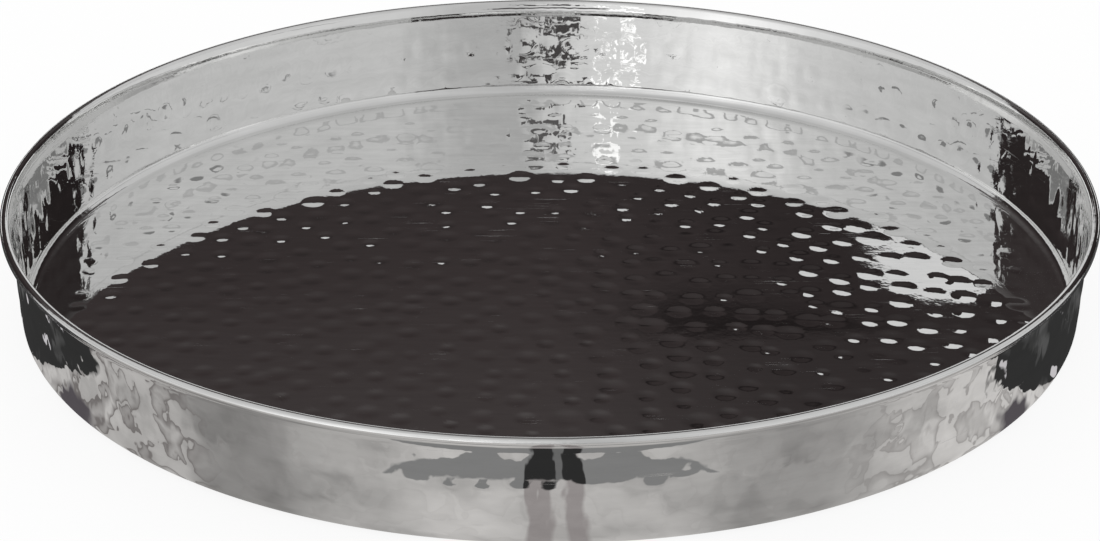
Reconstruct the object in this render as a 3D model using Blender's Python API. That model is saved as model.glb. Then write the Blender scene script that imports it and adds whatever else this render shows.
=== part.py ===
"""Round hammered-steel candle tray: a pressed pan whose rim rolls outwards and curls over a steel wire.

The pan is one sheet: a flat floor, a rounded corner, a wall that leans out, a wide roll that
turns the wall outwards, and a bead that curls over and back under round the wire. The wire is a closed
ring, and the bead holds it.
Units are metres, +Z is up, and the origin is the centre of the underside.
"""

import math

import bmesh
import bpy

# Driving dimensions of the tray
RIM_DIAMETER = 0.300
TRAY_HEIGHT = 0.031
SHEET = 0.0005
BEAD_DIAMETER = 0.0026
ROLL_RADIUS = 0.0160
CORNER_RADIUS = 0.0030
WALL_LEAN = math.radians(3.0)

# Where the roll passes into the bead: the direction that the sheet's face has there
ROLL_END = math.radians(162.0)

# Clearances of the rolled edge
WIRE_CLEARANCE = 0.00030
SEAM_GAP = 0.00035

# How finely round shapes are divided, and how near two points are one
RING_STEPS = 96
CORNER_STEPS = 6
ROLL_STEPS = 3
BEAD_LEG_STEPS = 4
TUCK_STEPS = 6
WIRE_SIDES = 12
SAME_POINT = 0.00001

# Finishes
POLISHED_STEEL = (0.80, 0.80, 0.79)
POLISHED_ROUGHNESS = 0.06
DRAWN_STEEL = (0.55, 0.55, 0.54)
DRAWN_ROUGHNESS = 0.35

# The bead's centre and the radii of the sheet's two faces round it
BEAD_OUTER = BEAD_DIAMETER / 2
BEAD_INNER = BEAD_OUTER - SHEET
BEAD_R = RIM_DIAMETER / 2 - BEAD_OUTER
BEAD_Z = TRAY_HEIGHT - BEAD_OUTER

# The roll's centre, which makes roll and bead run into each other smoothly
CENTRE_GAP = ROLL_RADIUS - BEAD_OUTER
ROLL_R = BEAD_R - CENTRE_GAP * math.cos(ROLL_END)
ROLL_Z = BEAD_Z - CENTRE_GAP * math.sin(ROLL_END)
ROLL_INNER = ROLL_RADIUS - SHEET

# The corner's centre height and outer radius, which put the underside at z = 0
CORNER_OUTER = CORNER_RADIUS + SHEET
CORNER_Z = CORNER_OUTER

# The wire fills the bead, less its clearance
WIRE_RADIUS = BEAD_INNER - WIRE_CLEARANCE


def clear_scene():
    """Removes what a new file starts with."""
    for obj in list(bpy.data.objects):
        bpy.data.objects.remove(obj)


def steel(name, colour, roughness):
    """A bare metal of this colour and roughness."""
    material = bpy.data.materials.new(name)
    material.use_nodes = True
    shader = material.node_tree.nodes["Principled BSDF"]
    shader.inputs["Base Color"].default_value = (*colour, 1.0)
    shader.inputs["Metallic"].default_value = 1.0
    shader.inputs["Roughness"].default_value = roughness
    return material


def arc(centre_r, centre_z, radius, start, end, steps):
    """Points (r, z) along an arc, both ends included."""
    angles = [start + (end - start) * i / steps for i in range(steps + 1)]
    return [(centre_r + radius * math.cos(a), centre_z + radius * math.sin(a)) for a in angles]


def corner_centre_r():
    """Radius of the corner's centre, which the leaning wall sets.

    The wall's inner face is one straight line, tangent to the roll above it and to the corner below.
    """
    radii = ROLL_RADIUS + CORNER_RADIUS
    rise = ROLL_Z - CORNER_Z + radii * math.sin(WALL_LEAN)
    return ROLL_R - radii * math.cos(WALL_LEAN) - rise * math.tan(WALL_LEAN)


def seam_angle():
    """Angle on the bead where the sheet's edge stops, one seam gap from the roll's outer face.

    It follows from the triangle of the roll's centre, the bead's centre and the sheet's edge.
    """
    reach = ROLL_INNER - SEAM_GAP
    cosine = (reach**2 - CENTRE_GAP**2 - BEAD_OUTER**2) / (2 * BEAD_OUTER * CENTRE_GAP)
    return ROLL_END - (2 * math.pi - math.acos(cosine))


def rolled_edge(roll_radius, bead_radius):
    """One face of the rolled edge: up the roll, then over the bead's crown and outside to its seam."""
    wall_top = math.pi - WALL_LEAN
    crown = math.pi / 2
    roll = arc(ROLL_R, ROLL_Z, roll_radius, wall_top, ROLL_END, ROLL_STEPS)
    rise = arc(BEAD_R, BEAD_Z, bead_radius, ROLL_END, crown, BEAD_LEG_STEPS)
    fall = arc(BEAD_R, BEAD_Z, bead_radius, crown, 0.0, BEAD_LEG_STEPS)
    tuck = arc(BEAD_R, BEAD_Z, bead_radius, 0.0, seam_angle(), TUCK_STEPS)
    return roll + rise[1:] + fall[1:] + tuck[1:]


def pan_profile():
    """The sheet's outline (r, z): from the axis up the inside, round the bead and down the outside."""
    corner_r = corner_centre_r()
    floor_end = -math.pi / 2
    wall_foot = -WALL_LEAN
    inside = arc(corner_r, CORNER_Z, CORNER_RADIUS, floor_end, wall_foot, CORNER_STEPS)
    outside = arc(corner_r, CORNER_Z, CORNER_OUTER, wall_foot, floor_end, CORNER_STEPS)
    edge = rolled_edge(ROLL_RADIUS, BEAD_OUTER) + rolled_edge(ROLL_INNER, BEAD_INNER)[::-1]
    return [(0.0, SHEET)] + inside + edge + outside + [(0.0, 0.0)]


def tray_pan():
    """The pressed sheet, turned from its profile."""
    mesh = bpy.data.meshes.new("tray_pan")
    points = [(r, 0.0, z) for r, z in pan_profile()]
    edges = [(i, i + 1) for i in range(len(points) - 1)]
    mesh.from_pydata(points, edges, [])
    mesh.materials.append(steel("polished_steel", POLISHED_STEEL, POLISHED_ROUGHNESS))
    pan = bpy.data.objects.new("tray_pan", mesh)
    turn = pan.modifiers.new("turn", "SCREW")
    turn.axis = "Z"
    turn.steps = RING_STEPS
    turn.render_steps = RING_STEPS
    turn.use_merge_vertices = True
    turn.merge_threshold = SAME_POINT
    turn.use_smooth_shade = True
    return pan


def rim_wire():
    """The ring of wire in the bead, spun from a round section."""
    mesh = bpy.data.meshes.new("rim_wire")
    shape = bmesh.new()
    section = arc(BEAD_R, BEAD_Z, WIRE_RADIUS, 0.0, 2 * math.pi, WIRE_SIDES)[:-1]
    points = [shape.verts.new((r, 0.0, z)) for r, z in section]
    loop = [shape.edges.new((points[i - 1], points[i])) for i in range(WIRE_SIDES)]
    bmesh.ops.spin(
        shape,
        geom=points + loop,
        cent=(0.0, 0.0, 0.0),
        axis=(0.0, 0.0, 1.0),
        angle=2 * math.pi,
        steps=RING_STEPS,
        use_merge=True,
    )
    bmesh.ops.recalc_face_normals(shape, faces=shape.faces)
    shape.to_mesh(mesh)
    shape.free()
    mesh.shade_smooth()
    mesh.materials.append(steel("drawn_steel", DRAWN_STEEL, DRAWN_ROUGHNESS))
    return bpy.data.objects.new("rim_wire", mesh)


def main():
    """Builds both pieces under one parent, the tray."""
    clear_scene()
    tray = bpy.data.objects.new("tray", None)
    bpy.context.scene.collection.objects.link(tray)
    for piece in (tray_pan(), rim_wire()):
        bpy.context.scene.collection.objects.link(piece)
        piece.parent = tray


main()
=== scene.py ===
import math

import bpy
import numpy as np
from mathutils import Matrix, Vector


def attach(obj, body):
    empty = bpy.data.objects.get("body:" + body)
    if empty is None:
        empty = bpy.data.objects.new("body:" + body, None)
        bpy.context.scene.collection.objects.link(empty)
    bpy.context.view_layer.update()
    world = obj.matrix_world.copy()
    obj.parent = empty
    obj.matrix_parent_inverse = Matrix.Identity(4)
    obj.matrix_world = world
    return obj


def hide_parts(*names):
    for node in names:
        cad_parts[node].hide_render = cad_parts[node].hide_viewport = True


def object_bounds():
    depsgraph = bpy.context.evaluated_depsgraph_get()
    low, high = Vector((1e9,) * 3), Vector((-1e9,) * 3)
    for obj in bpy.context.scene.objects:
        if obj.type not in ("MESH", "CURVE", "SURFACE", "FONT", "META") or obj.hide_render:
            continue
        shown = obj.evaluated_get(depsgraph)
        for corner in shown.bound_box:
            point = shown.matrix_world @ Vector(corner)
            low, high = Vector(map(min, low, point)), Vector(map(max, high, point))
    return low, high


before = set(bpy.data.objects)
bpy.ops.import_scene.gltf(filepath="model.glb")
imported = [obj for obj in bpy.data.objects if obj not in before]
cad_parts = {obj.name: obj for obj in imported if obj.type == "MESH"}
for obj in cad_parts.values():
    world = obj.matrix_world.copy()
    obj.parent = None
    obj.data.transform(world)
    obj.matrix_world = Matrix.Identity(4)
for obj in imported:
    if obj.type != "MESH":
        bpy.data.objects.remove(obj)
cad_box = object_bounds()


# Hammered floor
# The flat bottom of the tray, one with the wall: a disc of polished stainless sheet. A ball hammer has
# struck it from inside, ring by ring, so each mark is a shallow bowl above and a low bump below.
RIM_RADIUS = cad_box[1][0]
TRAY_HEIGHT = cad_box[1][2]
SHEET = 0.0005
BEAD_RADIUS = 0.0013
ROLL_RADIUS = 0.0160
ROLL_END = math.radians(162)
CORNER_RADIUS = 0.0030
WALL_LEAN = math.radians(3.0)
bead_r = RIM_RADIUS - BEAD_RADIUS
bead_z = TRAY_HEIGHT - BEAD_RADIUS
centre_gap = ROLL_RADIUS - BEAD_RADIUS
roll_r = bead_r - centre_gap * math.cos(ROLL_END)
roll_z = bead_z - centre_gap * math.sin(ROLL_END)
corner_z = SHEET + CORNER_RADIUS
both_radii = ROLL_RADIUS + CORNER_RADIUS
tangent_rise = roll_z - corner_z + both_radii * math.sin(WALL_LEAN)
floor_radius = roll_r - both_radii * math.cos(WALL_LEAN) - tangent_rise * math.tan(WALL_LEAN)
FLOOR_CELLS = 280
UNDER_CELLS = FLOOR_CELLS // 2
RING_PITCH = 0.0082
MARK_STEP = 0.0108
MARK_RADIUS = 0.0038
MARK_DEPTH = 0.000072
MARK_EDGE = 2.0
LAST_RING = 17
RING_DRIFT = 0.0009
STEP_DRIFT = 0.11
HEAVY_SIDE = 0.04
FLOOR_LIFT = 0.00020
EDGE_CALM = 8
WAVE_SLOPE = 0.0010
WAVES = 7
SHORT_WAVE = 0.035
LONG_WAVE = 0.10
NORMAL_STEP = 0.00002
STRIKE_SEED = 11

# Two places where the floor falls a little towards the back: x, y, spread and tilt of each
SAGS = ((0.106, -0.002, 0.028, 0.0110), (-0.100, 0.014, 0.034, 0.0062))

strikes = np.random.default_rng(STRIKE_SEED)


def uneven(count, spread, low, high):
    """Factors for handwork: normal draws about 1 with this spread, kept between a low and a high one."""
    return np.clip(strikes.normal(1.0, spread, count), low, high)


ring_reach = np.arange(LAST_RING + 1)[:, None] * RING_PITCH
ring_count = np.maximum(1, np.round(2 * np.pi * ring_reach[:, 0] / MARK_STEP)).astype(int)
mark_grid = (LAST_RING + 1, ring_count.max())
ring_turn = strikes.uniform(0, 1, (LAST_RING + 1, 1))
mark_reach = ring_reach + strikes.normal(0, RING_DRIFT, mark_grid)
mark_step = np.arange(mark_grid[1]) + ring_turn + strikes.normal(0, STEP_DRIFT, mark_grid)
mark_turn = mark_step / ring_count[:, None]
mark_x = mark_reach * np.cos(2 * np.pi * mark_turn)
mark_y = mark_reach * np.sin(2 * np.pi * mark_turn)
heft = 1 + HEAVY_SIDE * mark_x / floor_radius
mark_radius = MARK_RADIUS * heft * uneven(mark_grid, spread=0.18, low=0.6, high=1.6)
mark_depth = MARK_DEPTH * heft**2 * uneven(mark_grid, spread=0.22, low=0.4, high=1.2)
wave_heading = strikes.uniform(0, 2 * np.pi, WAVES)
wave_length = strikes.uniform(SHORT_WAVE, LONG_WAVE, WAVES)
wave_start = strikes.uniform(0, 2 * np.pi, WAVES)


def bowl(distance_squared, radius, depth):
    """Depth of a hammer mark: a round bowl that meets the sheet smoothly at its radius.

    It is the full depth times a power of 1 less the squared distance over the squared radius.
    """
    return depth * np.clip(1 - distance_squared / radius**2, 0, None) ** MARK_EDGE


def floor_height(x, y):
    """Height of the struck floor's upper face.

    Each ring holds equal steps of marks. A point goes down by the bowls of the three nearest marks on its
    own ring and on the rings beside it. To that come a few long, low waves and the sags: each sag is a
    slope from front to back that fades away round its middle like a bell curve. All of them end flat at the
    floor's edge, and the middle is lifted a little so that no bump below reaches the table.
    """
    away = np.hypot(x, y)
    turn = np.arctan2(y, x) / (2 * np.pi)
    own_ring = np.round(away / RING_PITCH).astype(int)
    calm = np.clip(1 - (away / floor_radius) ** 6, 0, 1) ** 2
    near_edge = np.clip(EDGE_CALM * calm, 0, 1)
    height = SHEET + FLOOR_LIFT * calm
    for beside in (-1, 0, 1):
        ring = np.clip(own_ring + beside, 0, LAST_RING)
        count = ring_count[ring]
        nearest = np.round(turn * count - ring_turn[ring, 0]).astype(int)
        for step in (-1, 0, 1):
            mark = (nearest + step) % count
            once = (own_ring + beside == ring) & ((count > 2) | (step == 0))
            gap = (x - mark_x[ring, mark]) ** 2 + (y - mark_y[ring, mark]) ** 2
            height -= once * near_edge * bowl(gap, mark_radius[ring, mark], mark_depth[ring, mark])
    for heading, length, start in zip(wave_heading, wave_length, wave_start):
        along = (x * np.cos(heading) + y * np.sin(heading)) * 2 * np.pi / length
        height += calm * WAVE_SLOPE * length / (2 * np.pi) * np.sin(along + start) / np.sqrt(WAVES / 2)
    for sag_x, sag_y, width, tilt in SAGS:
        spread = np.exp(-((x - sag_x) ** 2 + (y - sag_y) ** 2) / (2 * width**2))
        height -= calm * tilt * (y - sag_y) * spread
    return height


def floor_point(x, y):
    """Points of the struck floor above x and y."""
    return np.stack([x, y, floor_height(x, y)], -1)


def square_to_disc(across, along):
    """A square grid (-1 to 1 both ways) drawn out to the floor's disc.

    Each square ring of the grid becomes a circle, with its points evenly spaced round it.
    """
    across_leads = np.abs(across) >= np.abs(along)
    lead = np.where(across_leads, across, along)
    other = np.where(across_leads, along, across)
    angle = np.pi / 4 * other / np.where(lead == 0, 1, lead)
    near = floor_radius * lead * np.cos(angle)
    far = floor_radius * lead * np.sin(angle)
    return np.where(across_leads, near, far), np.where(across_leads, far, near)


def face_normals(surface, first, second, step):
    """Unit normals of a surface: the cross product of its central differences along both parameters."""
    along_first = surface(first + step, second) - surface(first - step, second)
    along_second = surface(first, second + step) - surface(first, second - step)
    normals = np.cross(along_first, along_second)
    return normals / np.linalg.norm(normals, axis=-1, keepdims=True)


def grid_faces(rows, columns, wrap):
    """Quads of a grid of points counted row by row. With wrap, the last column joins the first."""
    quads_across = columns if wrap else columns - 1
    row, column = np.meshgrid(np.arange(rows - 1), np.arange(quads_across), indexing="ij")
    after = (column + 1) % columns
    low = row * columns
    high = low + columns
    return np.stack([low + column, low + after, high + after, high + column], -1).reshape(-1, 4)


def square_border(side):
    """Point numbers round the border of a square grid, in order."""
    number = np.arange(side * side).reshape(side, side)
    return np.concatenate([number[:-1, 0], number[-1, :-1], number[:0:-1, -1], number[0, :0:-1]])


def sheet_piece(name, points, normals, smooth, flat):
    """A mesh object. Its smooth faces take the normals given at the points, its flat ones their own.

    A flat face's normal is the cross product of its first two sides.
    """
    groups = smooth + flat
    sizes = np.concatenate([np.full(len(group), group.shape[1]) for group in groups])
    corners = np.concatenate([group.ravel() for group in groups])
    mesh = bpy.data.meshes.new(name)
    mesh.vertices.add(len(points))
    mesh.vertices.foreach_set("co", points.astype(np.float32).ravel())
    mesh.loops.add(len(corners))
    mesh.loops.foreach_set("vertex_index", corners.astype(np.int32))
    mesh.polygons.add(len(sizes))
    mesh.polygons.foreach_set("loop_start", (np.cumsum(sizes) - sizes).astype(np.int32))
    mesh.update(calc_edges=True)
    mesh.shade_smooth()
    corner_normals = [normals[group].reshape(-1, 3) for group in smooth]
    for group in flat:
        first, second, third = (points[group[:, corner]] for corner in (0, 1, 2))
        upright = np.cross(second - first, third - first)
        upright /= np.linalg.norm(upright, axis=-1, keepdims=True)
        corner_normals.append(np.repeat(upright, group.shape[1], axis=0))
    mesh.normals_split_custom_set(np.concatenate(corner_normals).astype(np.float32))
    piece = bpy.data.objects.new(name, mesh)
    bpy.context.scene.collection.objects.link(piece)
    return piece


grid = np.linspace(-1, 1, FLOOR_CELLS + 1)
floor_x, floor_y = square_to_disc(*np.meshgrid(grid, grid, indexing="ij"))
top = floor_point(floor_x, floor_y)
top_normals = face_normals(floor_point, floor_x, floor_y, NORMAL_STEP)
under = (top - SHEET * top_normals)[::2, ::2]
under_start = top.shape[0] * top.shape[1]
top_faces = grid_faces(FLOOR_CELLS + 1, FLOOR_CELLS + 1, False)
under_faces = grid_faces(UNDER_CELLS + 1, UNDER_CELLS + 1, False) + under_start
top_border = square_border(FLOOR_CELLS + 1)
first = top_border[0::2]
middle = top_border[1::2]
last = np.roll(first, -1)
low_first = square_border(UNDER_CELLS + 1) + under_start
low_last = np.roll(low_first, -1)
edge_quads = np.stack([first, low_first, low_last, middle], -1)
edge_corners = np.stack([middle, low_last, last], -1)
hammered_floor = sheet_piece(
    "hammered_floor",
    np.concatenate([top.reshape(-1, 3), under.reshape(-1, 3)]),
    np.concatenate([top_normals.reshape(-1, 3), -top_normals[::2, ::2].reshape(-1, 3)]),
    [top_faces[:, ::-1], under_faces],
    [edge_quads, edge_corners],
)


def add_node(tree, kind, inputs, **settings):
    """A new node with these settings. Each of its inputs takes a link from a socket or a fixed value."""
    node = tree.nodes.new(kind)
    for name, value in settings.items():
        setattr(node, name, value)
    for name, value in inputs.items():
        if isinstance(value, bpy.types.NodeSocket):
            tree.links.new(value, node.inputs[name])
        else:
            node.inputs[name].default_value = value
    return node


def calculate(tree, operation, *values):
    """The result of one sum on sockets or numbers."""
    return add_node(tree, "ShaderNodeMath", dict(enumerate(values)), operation=operation).outputs[0]


def colour_ramp(tree, value, stops):
    """A colour read from a value: straight lines between stops of (value, red, green, blue)."""
    node = add_node(tree, "ShaderNodeValToRGB", {0: value})
    elements = node.color_ramp.elements
    elements.remove(elements[1])
    elements[0].position = stops[0][0]
    elements[0].color = (*stops[0][1:], 1)
    for place, *colour in stops[1:]:
        elements.new(place).color = (*colour, 1)
    return node.outputs[0]


def grey_ramp(tree, value, stops):
    """A grey level read from a value: straight lines between stops of (value, level)."""
    return colour_ramp(tree, value, [(place, level, level, level) for place, level in stops])


def stretched_noise(tree, place, stretch, detail, turn=0.0):
    """Noise drawn out along one way: the place is turned about Z, then scaled by each axis' stretch."""
    laid = add_node(tree, "ShaderNodeMapping", {"Vector": place, "Rotation": (0, 0, turn), "Scale": stretch})
    inputs = {"Vector": laid.outputs[0], "Scale": 1.0, "Detail": detail, "Roughness": 0.6}
    return add_node(tree, "ShaderNodeTexNoise", inputs).outputs[0]


SMEAR_STRETCH = (26, 38, 38)
PATCH_STRETCH = (90, 60, 60)
SCRATCH_ROUGHNESS = 0.26
STEEL_DARK = (0.765, 0.765, 0.760)
STEEL_LIGHT = (0.835, 0.835, 0.830)


def polished_steel(name, scratch_turns, scratch_stretch, polish_stretch, ripple_stretch, ripple_height):
    """Mirror-polished stainless steel.

    Its roughness is that of faint smears plus hairline scratches, which lie in patches and run along the
    turns given. Its colour varies along fine polishing lines, and its bump is the hammer's small ripples.
    """
    material = bpy.data.materials.new(name)
    material.use_nodes = True
    tree = material.node_tree
    shader = tree.nodes["Principled BSDF"]
    place = tree.nodes.new("ShaderNodeTexCoord").outputs["Object"]
    smear = stretched_noise(tree, place, SMEAR_STRETCH, detail=5, turn=0.4)
    haze = grey_ramp(tree, smear, [(0.35, 0.012), (0.62, 0.022), (0.78, 0.036)])
    patches = stretched_noise(tree, place, PATCH_STRETCH, detail=3, turn=0.9)
    scratched = grey_ramp(tree, patches, [(0.45, 0.0), (0.62, 1.0)])
    hairline = 0.0
    for turn in scratch_turns:
        lines = stretched_noise(tree, place, scratch_stretch, detail=3, turn=turn)
        thin = grey_ramp(tree, lines, [(0.655, 0.0), (0.73, 1.0)])
        hairline = calculate(tree, "MAXIMUM", hairline, thin)
    hairline = calculate(tree, "MULTIPLY", hairline, scratched)
    roughness = calculate(tree, "MULTIPLY_ADD", hairline, SCRATCH_ROUGHNESS, haze)
    tree.links.new(roughness, shader.inputs["Roughness"])
    polish_lines = stretched_noise(tree, place, polish_stretch, detail=4, turn=scratch_turns[0])
    tone = colour_ramp(tree, polish_lines, [(0.30, *STEEL_DARK), (0.70, *STEEL_LIGHT)])
    tree.links.new(tone, shader.inputs["Base Color"])
    ripples = stretched_noise(tree, place, ripple_stretch, detail=2)
    bump = add_node(tree, "ShaderNodeBump", {"Strength": 1.0, "Distance": ripple_height, "Height": ripples})
    tree.links.new(bump.outputs[0], shader.inputs["Normal"])
    shader.inputs["Metallic"].default_value = 1.0
    return material


hammered_floor.data.materials.append(polished_steel(
    "floor_steel",
    scratch_turns=(0.03, -0.10, 1.1),
    scratch_stretch=(22, 1500, 22),
    polish_stretch=(60, 420, 60),
    ripple_stretch=(320, 320, 1),
    ripple_height=0.000006,
))
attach(hammered_floor, "root")
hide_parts("tray_pan")


# Wall with its rolled rim
# The rest of the same sheet: it turns up round a smooth corner, stands as a wall with two rows of hammer
# marks, rolls outwards and curls into a small bead over the wire.
AROUND = 960
SEAM_GAP = 0.00035
CORNER_ROWS = 7
WALL_ROWS = 22
ROLL_ROWS = 7
BEAD_ROWS = 13
corner_length = CORNER_RADIUS * (math.pi / 2 - WALL_LEAN)
wall_length = tangent_rise / math.cos(WALL_LEAN)
roll_length = ROLL_RADIUS * (math.pi - WALL_LEAN - ROLL_END)
seam_reach = ROLL_RADIUS - SHEET - SEAM_GAP
seam_cosine = (seam_reach**2 - centre_gap**2 - BEAD_RADIUS**2) / (2 * BEAD_RADIUS * centre_gap)
bead_length = BEAD_RADIUS * (2 * math.pi - math.acos(seam_cosine))
WALL_ROW_HEIGHTS = (0.0062, 0.0160)
WALL_MARKS = 114
WALL_MARK_RADIUS = 0.0044
WALL_MARK_DEPTH = 0.00012
WALL_STEP_DRIFT = 0.08
WALL_ROW_DRIFT = 0.0008
SMOOTH_FOOT = 0.0030
SMOOTH_TOP = 0.0262
SMOOTH_FADE = 0.0032
FLUTES = 16
FLUTE_SLOPE = 0.010
FEWEST_FLUTES = 40
MOST_FLUTES = 240
FLUTE_TWIST = 90

wall_grid = (len(WALL_ROW_HEIGHTS), WALL_MARKS)
row_turn = strikes.uniform(0, 1, len(WALL_ROW_HEIGHTS))
wall_drift = strikes.normal(0, WALL_STEP_DRIFT, wall_grid)
wall_shift = strikes.normal(0, WALL_ROW_DRIFT, wall_grid)
wall_radius = WALL_MARK_RADIUS * uneven(wall_grid, spread=0.15, low=0.6, high=1.4)
wall_depth = WALL_MARK_DEPTH * uneven(wall_grid, spread=0.3, low=0.3, high=1.8)
flute_count = strikes.integers(FEWEST_FLUTES, MOST_FLUTES, FLUTES)
flute_start = strikes.uniform(0, 2 * np.pi, FLUTES)
flute_twist = strikes.normal(0, FLUTE_TWIST, FLUTES)


def calm_ends(height):
    """1 on the struck part of the wall, falling to 0 at the smooth strips by the corner and the rim.

    The product of a straight rise and a straight fall is rounded off by the curve 3 t squared - 2 t cubed.
    """
    rise = np.clip((height - SMOOTH_FOOT) / SMOOTH_FADE, 0, 1)
    fall = np.clip((SMOOTH_TOP - height) / SMOOTH_FADE, 0, 1)
    return (rise * fall) ** 2 * (3 - 2 * rise * fall)


def wall_sag(angle, height):
    """How far the struck wall stands outside a plain one: the marks' bowls and slight upright flutes."""
    turn = angle / (2 * np.pi) * WALL_MARKS
    sag = np.zeros_like(angle)
    for row, row_height in enumerate(WALL_ROW_HEIGHTS):
        nearest = np.round(turn - row_turn[row]).astype(int)
        for step in (-1, 0, 1):
            mark = (nearest + step) % WALL_MARKS
            offset = turn - row_turn[row] - (nearest + step) - wall_drift[row, mark]
            sideways = offset * 2 * np.pi * RIM_RADIUS / WALL_MARKS
            upwards = height - row_height - wall_shift[row, mark]
            sag += bowl(sideways**2 + upwards**2, wall_radius[row, mark], wall_depth[row, mark])
    for count, start, twist in zip(flute_count, flute_start, flute_twist):
        swell = FLUTE_SLOPE * RIM_RADIUS / count / np.sqrt(FLUTES / 2)
        sag += swell * np.sin(count * angle + start + twist * height)
    return sag * calm_ends(height)


def wall_point(angle, length):
    """Points of the sheet's inner face, by angle round the tray and length up from the floor's edge.

    The length runs round the corner's arc, up the leaning wall, over the wide roll and round the bead.
    """
    up = length - corner_length
    corner = -np.pi / 2 + length / CORNER_RADIUS
    roll = np.pi - WALL_LEAN - (up - wall_length) / ROLL_RADIUS
    bead = ROLL_END - (up - wall_length - roll_length) / BEAD_RADIUS
    foot_r = floor_radius + CORNER_RADIUS * math.cos(WALL_LEAN)
    foot_z = corner_z - CORNER_RADIUS * math.sin(WALL_LEAN)
    wall_z = foot_z + up * math.cos(WALL_LEAN)
    wall_r = foot_r + up * math.sin(WALL_LEAN) + wall_sag(angle, wall_z)
    stretches = [up < 0, up < wall_length, up < wall_length + roll_length]
    on_corner_r = floor_radius + CORNER_RADIUS * np.cos(corner)
    on_corner_z = corner_z + CORNER_RADIUS * np.sin(corner)
    on_roll_r = roll_r + ROLL_RADIUS * np.cos(roll)
    on_roll_z = roll_z + ROLL_RADIUS * np.sin(roll)
    on_bead_r = bead_r + BEAD_RADIUS * np.cos(bead)
    on_bead_z = bead_z + BEAD_RADIUS * np.sin(bead)
    r = np.select(stretches, [on_corner_r, wall_r, on_roll_r], on_bead_r)
    z = np.select(stretches, [on_corner_z, wall_z, on_roll_z], on_bead_z)
    return np.stack([r * np.cos(angle), r * np.sin(angle), z], -1)


lengths = np.concatenate([
    np.linspace(0, corner_length, CORNER_ROWS, endpoint=False),
    corner_length + np.linspace(0, wall_length, WALL_ROWS, endpoint=False),
    corner_length + wall_length + np.linspace(0, roll_length, ROLL_ROWS, endpoint=False),
    corner_length + wall_length + roll_length + np.linspace(0, bead_length, BEAD_ROWS + 1),
])
angles = 2 * np.pi * np.arange(AROUND) / AROUND
length_grid, angle_grid = np.meshgrid(lengths, angles, indexing="ij")
inner = wall_point(angle_grid, length_grid).reshape(-1, 3)
inner_normals = -face_normals(wall_point, angle_grid, length_grid, NORMAL_STEP).reshape(-1, 3)
outer = inner - SHEET * inner_normals
inner_faces = grid_faces(len(lengths), AROUND, True)
foot = np.arange(AROUND)
foot_after = np.roll(foot, -1)
lip = foot + len(inner) - AROUND
lip_after = foot_after + len(inner) - AROUND
foot_faces = np.stack([foot, foot_after, foot_after + len(inner), foot + len(inner)], -1)
lip_faces = np.stack([lip, lip + len(inner), lip_after + len(inner), lip_after], -1)
tray_wall = sheet_piece(
    "wall_and_rolled_rim",
    np.concatenate([inner, outer]),
    np.concatenate([inner_normals, -inner_normals]),
    [inner_faces[:, ::-1], inner_faces + len(inner)],
    [foot_faces, lip_faces],
)
tray_wall.data.materials.append(polished_steel(
    "wall_steel",
    scratch_turns=(0.0, 0.6),
    scratch_stretch=(22, 22, 1500),
    polish_stretch=(60, 60, 300),
    ripple_stretch=(170, 170, 110),
    ripple_height=0.00007,
))
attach(tray_wall, "root")
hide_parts("tray_pan")


# Wire in the rim
# A ring of drawn steel wire that the edge of the sheet is rolled over. It keeps its plain shape and shows
# only through the narrow seam under the rim.
DRAWING_STRETCH = (60, 60, 9000)
wire_steel = bpy.data.materials.new("drawn_wire_steel")
wire_steel.use_nodes = True
tree = wire_steel.node_tree
wire_shader = tree.nodes["Principled BSDF"]
place = tree.nodes.new("ShaderNodeTexCoord").outputs["Object"]
drawing_lines = stretched_noise(tree, place, DRAWING_STRETCH, detail=3)
wire_tone = grey_ramp(tree, drawing_lines, [(0.3, 0.46), (0.7, 0.60)])
wire_roughness = grey_ramp(tree, drawing_lines, [(0.3, 0.42), (0.7, 0.28)])
tree.links.new(wire_tone, wire_shader.inputs["Base Color"])
tree.links.new(wire_roughness, wire_shader.inputs["Roughness"])
wire_shader.inputs["Metallic"].default_value = 1.0
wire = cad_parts["rim_wire"]
wire.data.materials.clear()
wire.data.materials.append(wire_steel)


# Table
# A white table top that the tray stands on. In the metal it shows as the real one does, through a painted
# reflection:
# for glossy rays only it glows with light in front of the tray, a few grey and dark stretches, and black at
# both sides, where the light ends.
TABLE_HALF = 3.0
TABLE_TOP = -0.0001
TABLE_WHITE = 0.88
TABLE_MATT = (0.95, 0.95, 0.95, 1)
TABLE_WARMTH = (1.0, 0.975, 0.955, 1)
WHITE = (1, 1, 1, 1)
FOOT_REACH = 0.147
BEARING_FALL = 7.2
BLOTCH_STRETCH = (7, 60, 1)
SWIRL_STRETCH = (11, 75, 1)
SWIRL_GREY = (0.20, 0.19, 0.19, 1)
LENS_NEAR = 0.1737
LENS_BEND = 3.1
LENS_HALF = 0.054
LENS_DEEP = 0.0120
BARS_SPAN = 0.040
COLUMN_GREY = (0.28, 0.25, 0.25, 1)
DARK_SIDE_Y = -0.0785
DARK_SIDE_TILT = 0.03
DARK_SIDE_SWAY = 0.05
DARK_LEFT_X = -0.141
DARK_RIGHT_X = 0.134
DARK_STEP_WIDTH = 0.004
DARK_STEP_BACK = 0.033
GLINT_STRETCH = (16, 120, 1)
GLINT_GREY = (0.62, 0.60, 0.62, 1)
FOOT_SHADE_REACH = 0.006
FOOT_SHADE = (0.10, 0.09, 0.10, 1)
table_mesh = bpy.data.meshes.new("table")
table_corners = TABLE_HALF * np.array([(-1, -1, 0), (1, -1, 0), (1, 1, 0), (-1, 1, 0)]) + (0, 0, TABLE_TOP)
table_mesh.from_pydata(table_corners.tolist(), [], [(0, 1, 2, 3)])
table = bpy.data.objects.new("table", table_mesh)
bpy.context.scene.collection.objects.link(table)
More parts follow.
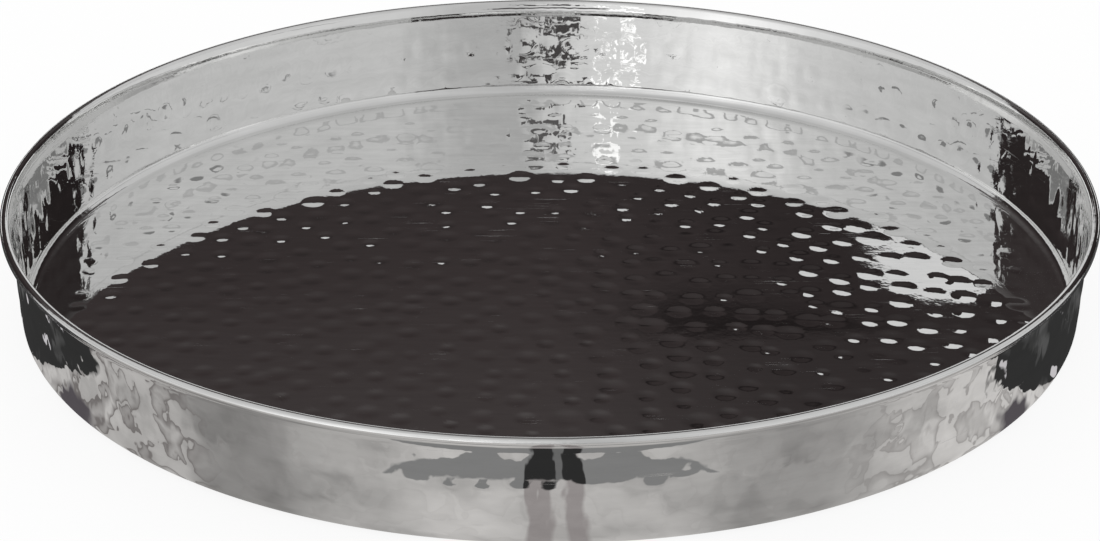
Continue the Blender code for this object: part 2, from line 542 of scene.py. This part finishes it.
# The table's material: white paint for the eye, and a painted reflection that glows for the metal's glossy
# rays
table_paint_and_painted_reflection = bpy.data.materials.new("table_paint_and_painted_reflection")
table_paint_and_painted_reflection.use_nodes = True
tree = table_paint_and_painted_reflection.node_tree
tree.nodes.clear()


def step_up(tree, value, place, softness):
    """0 below a place and 1 above it, with a straight rise of this width between."""
    return add_node(tree, "ShaderNodeMapRange", {
        "Value": value, "From Min": place - softness / 2, "From Max": place + softness / 2,
    }).outputs[0]


def mix_colours(tree, way, share, first, second):
    """Two colours mixed in Blender's way of this name, with this share of the second."""
    inputs = {0: share, 6: first, 7: second}
    return add_node(tree, "ShaderNodeMix", inputs, data_type="RGBA", blend_type=way).outputs[2]


def blend_colours(tree, share, first, second):
    """The first colour where the share is 0, the second where it is 1."""
    return mix_colours(tree, "MIX", share, first, second)


def multiply_colours(tree, first, second):
    """The product of two colours, channel by channel."""
    return mix_colours(tree, "MULTIPLY", 1.0, first, second)


def lay_patch(tree, under, side, rise, colour):
    """A colour laid over another by the product of two shares, one sideways and one up or along."""
    return blend_colours(tree, calculate(tree, "MULTIPLY", side, rise), under, colour)


# Bearing round the tray's foot, as a turn that is 0.5 straight in front, and the way past the foot
place = tree.nodes.new("ShaderNodeTexCoord").outputs["Object"]
spot = add_node(tree, "ShaderNodeSeparateXYZ", {0: place}).outputs
ahead = calculate(tree, "MULTIPLY", spot["Y"], -1.0)
reach = add_node(tree, "ShaderNodeVectorMath", {0: place}, operation="LENGTH").outputs["Value"]
past_foot = calculate(tree, "SUBTRACT", reach, FOOT_REACH)
drawn_in = calculate(tree, "MULTIPLY_ADD", past_foot, -BEARING_FALL, 1.0)
bearing = calculate(tree, "MULTIPLY", calculate(tree, "ARCTAN2", spot["X"], ahead), drawn_in)
turn = calculate(tree, "MULTIPLY_ADD", bearing, 1 / math.pi, 0.5)

# Painted reflection: light and grey stretches, with blotches and curling lines
top_light = grey_ramp(tree, turn, [
    (0.180, 0.56), (0.285, 0.50), (0.303, 0.31), (0.352, 0.28), (0.372, 0.42), (0.415, 0.47), (0.440, 0.60),
    (0.560, 0.54), (0.600, 0.36), (0.655, 0.36), (0.700, 0.58), (0.780, 0.70),
])
blur_place = add_node(tree, "ShaderNodeCombineXYZ", {0: bearing, 1: past_foot}).outputs[0]
blotches = stretched_noise(tree, blur_place, BLOTCH_STRETCH, detail=2)
blotches = grey_ramp(tree, blotches, [(0.30, 0.74), (0.50, 1.0), (0.70, 1.12)])
top_light = multiply_colours(tree, top_light, blotches)
swirls = stretched_noise(tree, blur_place, SWIRL_STRETCH, detail=2)
swirl_lines = grey_ramp(tree, swirls, [
    (0.36, 0.0), (0.470, 0.65), (0.495, 1.0), (0.505, 1.0), (0.515, 0.15), (0.60, 0.0),
])
swirl_sides = grey_ramp(tree, turn, [
    (0.20, 1.0), (0.295, 0.9), (0.315, 0.1), (0.66, 0.1), (0.69, 0.5), (0.78, 0.6),
])
top_light = lay_patch(tree, top_light, swirl_lines, swirl_sides, SWIRL_GREY)
top_light = multiply_colours(tree, top_light, TABLE_WARMTH)

# The dark gap between the two front lights: a lens-shaped patch with bars in it, and a column before it
side_squared = calculate(tree, "MULTIPLY", spot["X"], spot["X"])
bent_ahead = calculate(tree, "MULTIPLY_ADD", side_squared, LENS_BEND, ahead)
into_lens = calculate(tree, "SUBTRACT", bent_ahead, LENS_NEAR)
lens_deep = calculate(tree, "DIVIDE", into_lens, LENS_DEEP)
lens_wide = calculate(tree, "DIVIDE", side_squared, LENS_HALF**2)
lens_round = calculate(tree, "MULTIPLY_ADD", lens_deep, lens_deep, lens_wide)
within_round = calculate(tree, "SUBTRACT", 1.0, step_up(tree, lens_round, 1.0, softness=0.08))
in_lens = calculate(tree, "MULTIPLY", step_up(tree, into_lens, 0.0, softness=0.001), within_round)
across = calculate(tree, "MULTIPLY_ADD", spot["X"], 1 / BARS_SPAN, 0.5)
bar_level = grey_ramp(tree, across, [
    (0.32, 0.24), (0.34, 0.03), (0.53, 0.03), (0.54, 0.16), (0.60, 0.16), (0.61, 0.03), (0.76, 0.03),
    (0.78, 0.24),
])
in_column = grey_ramp(tree, across, [
    (0.34, 0.0), (0.37, 0.75), (0.50, 0.75), (0.53, 0.15), (0.60, 0.15), (0.63, 0.75), (0.72, 0.75),
    (0.76, 0.0),
])
seen_colour = blend_colours(tree, in_column, top_light, COLUMN_GREY)
seen_colour = blend_colours(tree, in_lens, seen_colour, bar_level)

# Black sides, which come further forward past the tray's width, with a few glints, and shade at the foot
from_left = step_up(tree, spot["X"], DARK_LEFT_X, DARK_STEP_WIDTH)
from_right = step_up(tree, spot["X"], DARK_RIGHT_X, DARK_STEP_WIDTH)
within_width = calculate(tree, "SUBTRACT", from_left, from_right)
dark_edge = calculate(tree, "MULTIPLY_ADD", spot["X"], DARK_SIDE_TILT, spot["Y"])
dark_edge = calculate(tree, "MULTIPLY_ADD", swirls, DARK_SIDE_SWAY, dark_edge)
dark_edge = calculate(tree, "MULTIPLY_ADD", within_width, -DARK_STEP_BACK, dark_edge)
in_dark = step_up(tree, dark_edge, DARK_SIDE_Y + DARK_SIDE_SWAY / 2, softness=0.003)
dark_side = grey_ramp(tree, blotches, [(0.80, 0.10), (0.95, 0.035), (1.0, 0.035)])
glints = stretched_noise(tree, blur_place, GLINT_STRETCH, detail=1)
in_glint = grey_ramp(tree, glints, [(0.66, 0.0), (0.68, 1.0)])
dark_side = blend_colours(tree, in_glint, dark_side, GLINT_GREY)
seen_colour = blend_colours(tree, in_dark, seen_colour, dark_side)
corner_shade = grey_ramp(tree, turn, [
    (0.155, 0.0), (0.160, 1.0), (0.195, 1.0), (0.205, 0.0), (0.790, 0.0), (0.795, 1.0), (0.822, 1.0),
    (0.827, 0.0),
])
near_foot = calculate(tree, "SUBTRACT", 1.0, step_up(tree, past_foot, FOOT_SHADE_REACH, softness=0.002))
seen_colour = lay_patch(tree, seen_colour, corner_shade, near_foot, FOOT_SHADE)

# The metal sees these stretches as a painted reflection, an emission that glows for glossy rays only; the
# eye sees a white table with the tray's soft shadow
seen = add_node(tree, "ShaderNodeEmission", {"Color": seen_colour}).outputs[0]
matt = add_node(tree, "ShaderNodeBsdfDiffuse", {"Color": TABLE_MATT}).outputs[0]
white = add_node(tree, "ShaderNodeEmission", {"Color": WHITE}).outputs[0]
path = tree.nodes.new("ShaderNodeLightPath").outputs
whitening = calculate(tree, "MULTIPLY", path["Is Camera Ray"], TABLE_WHITE)
plain = add_node(tree, "ShaderNodeMixShader", {0: whitening, 1: matt, 2: white}).outputs[0]
surface = add_node(tree, "ShaderNodeMixShader", {0: path["Is Glossy Ray"], 1: plain, 2: seen}).outputs[0]
add_node(tree, "ShaderNodeOutputMaterial", {"Surface": surface})
table_mesh.materials.append(table_paint_and_painted_reflection)


# Room
# Soft white light all round, brighter at the front left, with grey bars and a dark gap between the two front
# lights. Behind the tray is a dark room, with a low white card and two white strips in it. The eye and the
# table see plain white.
CLUTTER_STRETCH = (15, 15, 13)
SPARKLE = (1.6, 1.6, 1.6, 1)
GAP_DARK = (0.06, 0.055, 0.055, 1)
BAR_GREY = (0.24, 0.24, 0.24, 1)
FRAME_GREY = (0.55, 0.55, 0.55, 1)
CEILING_GREY = (0.58, 0.58, 0.58, 1)
LEDGE_GREY = (0.28, 0.28, 0.28, 1)
BEAM_DARK = (0.006, 0.005, 0.005, 1)
GLOOM_MIDDLE = 0.490
GLOOM_SWAY = 0.055
RAGGED_STRETCH = (17, 17, 70)
world = bpy.data.worlds.new("studio")
bpy.context.scene.world = world
world.use_nodes = True
tree = world.node_tree
tree.nodes.clear()

# The turn is 0.5 straight behind the tray and 0 or 1 in front; steep is 0.5 on the level and 1 overhead
place = tree.nodes.new("ShaderNodeTexCoord").outputs["Generated"]
heading = add_node(tree, "ShaderNodeSeparateXYZ", {0: place}).outputs
turn = calculate(tree, "DIVIDE", calculate(tree, "ARCTAN2", heading["X"], heading["Y"]), 2 * math.pi)
turn = calculate(tree, "ADD", turn, 0.5)
steep = calculate(tree, "MULTIPLY_ADD", heading["Z"], 0.5, 0.5)
from_back = calculate(tree, "ABSOLUTE", calculate(tree, "SUBTRACT", turn, 0.5))

# Lamps, with sparkles to the left of the dark gap
lamps = grey_ramp(tree, turn, [
    (0.000, 0.80), (0.024, 0.90), (0.065, 0.95), (0.085, 1.08), (0.110, 1.18), (0.140, 1.05), (0.170, 0.86),
    (0.210, 0.76), (0.270, 0.72), (0.340, 0.66), (0.660, 0.66), (0.730, 0.72), (0.780, 0.72), (0.900, 0.74),
    (0.945, 0.58), (0.978, 0.56), (1.000, 0.80),
])
clutter = stretched_noise(tree, place, CLUTTER_STRETCH, detail=3)
sparkle_side = grey_ramp(tree, turn, [(0.022, 0.0), (0.030, 0.42), (0.056, 0.42), (0.066, 0.0)])
sparkles = step_up(tree, calculate(tree, "ADD", sparkle_side, clutter), 0.98, softness=0.03)
lamps = blend_colours(tree, sparkles, lamps, SPARKLE)

# Dark gap between the two front lights, torn at its edges, with a whole bar low down
gap_side = grey_ramp(tree, from_back, [
    (0.435, 0.0), (0.455, 0.28), (0.480, 0.36), (0.488, 0.52), (0.5, 0.60),
])
gap_rise = grey_ramp(tree, steep, [
    (0.598, 0.0), (0.606, 1.0), (0.636, 1.0), (0.646, 0.55), (0.718, 0.55), (0.725, 1.0), (0.742, 1.0),
    (0.750, 0.45), (0.800, 0.45), (0.840, 0.0),
])
in_gap = step_up(tree, calculate(tree, "MULTIPLY_ADD", gap_side, gap_rise, clutter), 1.0, softness=0.04)
low_side = grey_ramp(tree, from_back, [(0.460, 0.0), (0.466, 1.0)])
low_rise = grey_ramp(tree, steep, [(0.546, 0.0), (0.550, 1.0), (0.570, 1.0), (0.575, 0.0)])
in_gap = calculate(tree, "MAXIMUM", in_gap, calculate(tree, "MULTIPLY", low_side, low_rise))
lamps = blend_colours(tree, in_gap, lamps, GAP_DARK)

# Grey bars in the lamps, the dimmer ceiling, and the ledges at both sides
bar_side = grey_ramp(tree, turn, [(0.655, 0.0), (0.665, 1.0), (0.855, 1.0), (0.870, 0.0)])
bar_rise = grey_ramp(tree, steep, [(0.597, 0.0), (0.599, 1.0), (0.6045, 1.0), (0.6065, 0.0)])
lamps = lay_patch(tree, lamps, bar_side, bar_rise, BAR_GREY)
frame_rise = grey_ramp(tree, steep, [(0.7446, 0.0), (0.7456, 1.0), (0.7570, 1.0), (0.7590, 0.0)])
lamps = blend_colours(tree, frame_rise, lamps, FRAME_GREY)
is_overhead = grey_ramp(tree, steep, [(0.50, 0.0), (0.67, 0.05), (0.82, 0.28), (0.94, 0.60), (1.00, 1.0)])
lit = blend_colours(tree, is_overhead, lamps, CEILING_GREY)
ledge_rise = grey_ramp(tree, steep, [(0.684, 0.0), (0.687, 1.0), (0.702, 1.0), (0.705, 0.0)])
ledge_side = grey_ramp(tree, from_back, [(0.118, 0.0), (0.124, 1.0), (0.270, 1.0), (0.300, 0.0)])
lit = lay_patch(tree, lit, ledge_rise, ledge_side, LEDGE_GREY)

# Dark room behind the tray, with a black beam, narrower higher up and ragged at its sides
gloom = colour_ramp(tree, steep, [
    (0.50, 0.034, 0.028, 0.028), (0.679, 0.039, 0.032, 0.032), (0.710, 0.053, 0.043, 0.043),
    (0.742, 0.068, 0.058, 0.058), (0.847, 0.19, 0.18, 0.18), (0.950, 0.33, 0.33, 0.33),
    (1.0, 0.58, 0.58, 0.58),
])
gloom_across = grey_ramp(tree, turn, [(0.46, 0.78), (0.50, 0.86), (0.515, 0.60), (0.56, 0.55)])
gloom = multiply_colours(tree, gloom, gloom_across)
beam_side = grey_ramp(tree, turn, [(0.503, 0.0), (0.508, 0.75), (0.517, 0.75), (0.523, 0.0)])
beam_rise = grey_ramp(tree, steep, [(0.7145, 0.0), (0.7155, 1.0), (0.7195, 1.0), (0.7205, 0.0)])
gloom = lay_patch(tree, gloom, beam_side, beam_rise, BEAM_DARK)
gloom_half = grey_ramp(tree, steep, [
    (0.675, 0.154), (0.73, 0.1347), (0.81, 0.107), (0.875, 0.069), (1.0, 0.03),
])
gloom_side = calculate(tree, "ABSOLUTE", calculate(tree, "SUBTRACT", turn, GLOOM_MIDDLE))
ragged = stretched_noise(tree, place, RAGGED_STRETCH, detail=2)
gloom_side = calculate(tree, "MULTIPLY_ADD", ragged, GLOOM_SWAY, gloom_side)
out_of_gloom = calculate(tree, "SUBTRACT", gloom_side, gloom_half)
past_gloom = step_up(tree, out_of_gloom, GLOOM_SWAY / 2, softness=0.004)
room = blend_colours(tree, past_gloom, gloom, lit)

# Low white strips, and the card between them, whose top edge is given as the heading's Z
strip_side = grey_ramp(tree, from_back, [(0.029, 0.0), (0.031, 1.0), (0.100, 1.0), (0.106, 0.0)])
strip_rise = grey_ramp(tree, steep, [(0.515, 0.0), (0.520, 1.0), (0.575, 1.0), (0.580, 0.0)])
room = lay_patch(tree, room, strip_side, strip_rise, WHITE)
card_top = grey_ramp(tree, turn, [
    (0.4706, 0.0), (0.4714, 0.350), (0.4833, 0.350), (0.4931, 0.356), (0.500, 0.360), (0.5083, 0.360),
    (0.5139, 0.370), (0.5167, 0.386), (0.5189, 0.406), (0.5222, 0.418), (0.5285, 0.420), (0.5293, 0.0),
])
card_white = grey_ramp(tree, turn, [(0.47, 0.60), (0.53, 0.74)])
in_card = step_up(tree, calculate(tree, "SUBTRACT", card_top, heading["Z"]), 0.0, softness=0.001)
room = blend_colours(tree, in_card, room, card_white)

# Only the metal sees the room
path = tree.nodes.new("ShaderNodeLightPath").outputs
shown = blend_colours(tree, path["Is Glossy Ray"], WHITE, room)
glow = add_node(tree, "ShaderNodeBackground", {"Color": shown}).outputs[0]
add_node(tree, "ShaderNodeOutputWorld", {"Surface": glow})


# Camera
# It looks down on the tray's front from about 24 degrees, as the photograph does.
CAMERA_REACH = 0.800
CAMERA_RISE = math.radians(24.28)
CAMERA_DIP = math.radians(0.75)
FOCAL_PIXELS = 2871.6
FRAME_PIXELS = 1100
SENSOR = 36
camera_data = bpy.data.cameras.new("camera")
camera_data.sensor_width = SENSOR
camera_data.lens = SENSOR * FOCAL_PIXELS / FRAME_PIXELS
camera = bpy.data.objects.new("camera", camera_data)
camera_height = TRAY_HEIGHT / 2 + CAMERA_REACH * math.sin(CAMERA_RISE)
camera.location = (0, -CAMERA_REACH * math.cos(CAMERA_RISE), camera_height)
camera.rotation_euler = (math.pi / 2 - CAMERA_RISE - CAMERA_DIP, 0, 0)
bpy.context.scene.collection.objects.link(camera)
bpy.context.scene.camera = camera
bpy.context.scene.view_settings.view_transform = "Standard"
